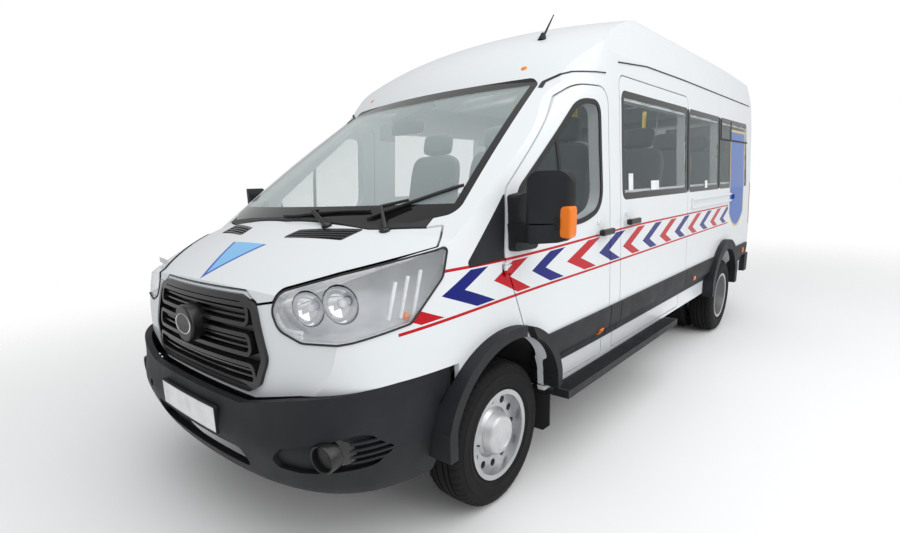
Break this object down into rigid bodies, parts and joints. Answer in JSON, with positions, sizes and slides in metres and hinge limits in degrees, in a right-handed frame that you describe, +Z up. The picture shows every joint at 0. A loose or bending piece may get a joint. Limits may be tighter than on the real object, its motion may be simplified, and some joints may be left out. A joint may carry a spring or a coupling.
{
  "type": "minibus",
  "caption": "Long high-roof minibus with twin rear wheels, hinged front and rear doors, a lifting bonnet, steered front wheels and rows of seats.",
  "frame": {"origin": "centre of the footprint, on the ground", "axes": "+X forward, +Y to the vehicle's left, +Z up"},
  "size_m": [5.981, 2.474, 2.5519],
  "materials": {
    "white_paint": "gloss",
    "dark_trim": "satin",
    "grille_black": "gloss",
    "glazing": "clear",
    "lamp_lens": "clear",
    "lamp_red": "gloss",
    "wheel_silver": "satin",
    "tyre_rubber": "matte",
    "chassis_steel": "matte",
    "iron": "matte",
    "pipe_steel": "matte",
    "flap_rubber": "matte",
    "cabin_plastic": "matte",
    "floor_grey": "matte",
    "seat_cloth": "woven"
  },
  "bodies": {
    "coach_body": {"side_left": "white_paint", "side_right": "white_paint", "roof": "white_paint", "roof_cap": "white_paint", "sliding_door": "white_paint", "front_wings": "white_paint", "front_panel": "white_paint", "scuttle": "white_paint", "windscreen": "glazing", "side_glass": "glazing", "side_cladding": "dark_trim", "slide_rail": "dark_trim", "front_bumper": "dark_trim", "antenna": "dark_trim", "wipers": "dark_trim", "rear_bumper": "dark_trim", "running_board": "dark_trim", "grille": "grille_black", "headlamps": "lamp_lens", "marker_lamps": "lamp_lens", "tail_lamps": "lamp_red", "floor_pan": "floor_grey", "underframe": "chassis_steel", "bumper_beam": "chassis_steel", "rear_axle": "chassis_steel", "propshaft": "chassis_steel", "front_subframe": "chassis_steel", "fuel_tank": "chassis_steel", "engine_block": "iron", "exhaust": "pipe_steel", "mud_flaps": "flap_rubber", "dashboard": "cabin_plastic", "front_seats": "seat_cloth", "passenger_seats": "seat_cloth"},
    "front_door_left_body": {"front_door_left": "white_paint", "door_glass_left": "glazing", "door_cladding_left": "dark_trim", "mirror_left": "dark_trim"},
    "front_door_right_body": {"front_door_right": "white_paint", "door_glass_right": "glazing", "door_cladding_right": "dark_trim", "mirror_right": "dark_trim"},
    "rear_door_left_body": {"rear_door_left": "white_paint", "rear_glass_left": "glazing"},
    "rear_door_right_body": {"rear_door_right": "white_paint", "rear_glass_right": "glazing"},
    "bonnet_body": {"bonnet": "white_paint", "bonnet_vents": "dark_trim"},
    "knuckle_left_body": {"knuckle_left": "iron"},
    "knuckle_right_body": {"knuckle_right": "iron"},
    "steering_wheel_body": {"steering_wheel": "cabin_plastic"},
    "wheel_front_left": {"rim_front_left": "wheel_silver", "tyre_front_left": "tyre_rubber"},
    "wheel_front_right": {"rim_front_right": "wheel_silver", "tyre_front_right": "tyre_rubber"},
    "wheel_rear_left": {"rim_rear_left": "wheel_silver", "tyres_rear_left": "tyre_rubber"},
    "wheel_rear_right": {"rim_rear_right": "wheel_silver", "tyres_rear_right": "tyre_rubber"}
  },
  "joints": [
    {"name": "front_door_left_hinge", "type": "hinge", "parent": "coach_body", "child": "front_door_left_body", "pos_m": [1.9805, 0.992, 1.1], "axis": [0, 0, -1], "range_deg": [0, 70]},
    {"name": "rear_door_left_hinge", "type": "hinge", "parent": "coach_body", "child": "rear_door_left_body", "pos_m": [-2.9465, 0.808, 1.4], "axis": [0, 0, -1], "range_deg": [0, 180]},
    {"name": "front_door_right_hinge", "type": "hinge", "parent": "coach_body", "child": "front_door_right_body", "pos_m": [1.9805, -0.992, 1.1], "axis": [0, 0, 1], "range_deg": [0, 70]},
    {"name": "rear_door_right_hinge", "type": "hinge", "parent": "coach_body", "child": "rear_door_right_body", "pos_m": [-2.9465, -0.808, 1.4], "axis": [0, 0, 1], "range_deg": [0, 180]},
    {"name": "bonnet_hinge", "type": "hinge", "parent": "coach_body", "child": "bonnet_body", "pos_m": [2.2175, 0, 1.378], "axis": [0, -1, 0], "range_deg": [0, 60]},
    {"name": "steer_left", "type": "hinge", "parent": "coach_body", "child": "knuckle_left_body", "pos_m": [1.9675, 0.755, 0.346], "axis": [0, 0, 1], "range_deg": [-33, 33]},
    {"name": "steer_right", "type": "hinge", "parent": "coach_body", "child": "knuckle_right_body", "pos_m": [1.9675, -0.755, 0.346], "axis": [0, 0, 1], "range_deg": [-33, 33]},
    {"name": "steering_wheel_turn", "type": "hinge", "parent": "coach_body", "child": "steering_wheel_body", "pos_m": [1.5275, -0.4, 1.228], "axis": [-0.5708, 0, 0.8211], "range_deg": [-528, 528]},
    {"name": "wheel_front_left_spin", "type": "hinge", "parent": "knuckle_left_body", "child": "wheel_front_left", "pos_m": [1.9675, 0.866, 0.346], "axis": [0, 1, 0], "continuous": true},
    {"name": "wheel_rear_left_spin", "type": "hinge", "parent": "coach_body", "child": "wheel_rear_left", "pos_m": [-1.7825, 0.821, 0.346], "axis": [0, 1, 0], "continuous": true},
    {"name": "wheel_front_right_spin", "type": "hinge", "parent": "knuckle_right_body", "child": "wheel_front_right", "pos_m": [1.9675, -0.866, 0.346], "axis": [0, 1, 0], "continuous": true},
    {"name": "wheel_rear_right_spin", "type": "hinge", "parent": "coach_body", "child": "wheel_rear_right", "pos_m": [-1.7825, -0.821, 0.346], "axis": [0, 1, 0], "continuous": true}
  ],
  "couplings": [
    {"joint": "steer_right", "follows": "steer_left", "ratio": 1},
    {"joint": "steering_wheel_turn", "follows": "steer_left", "ratio": 16}
  ]
}
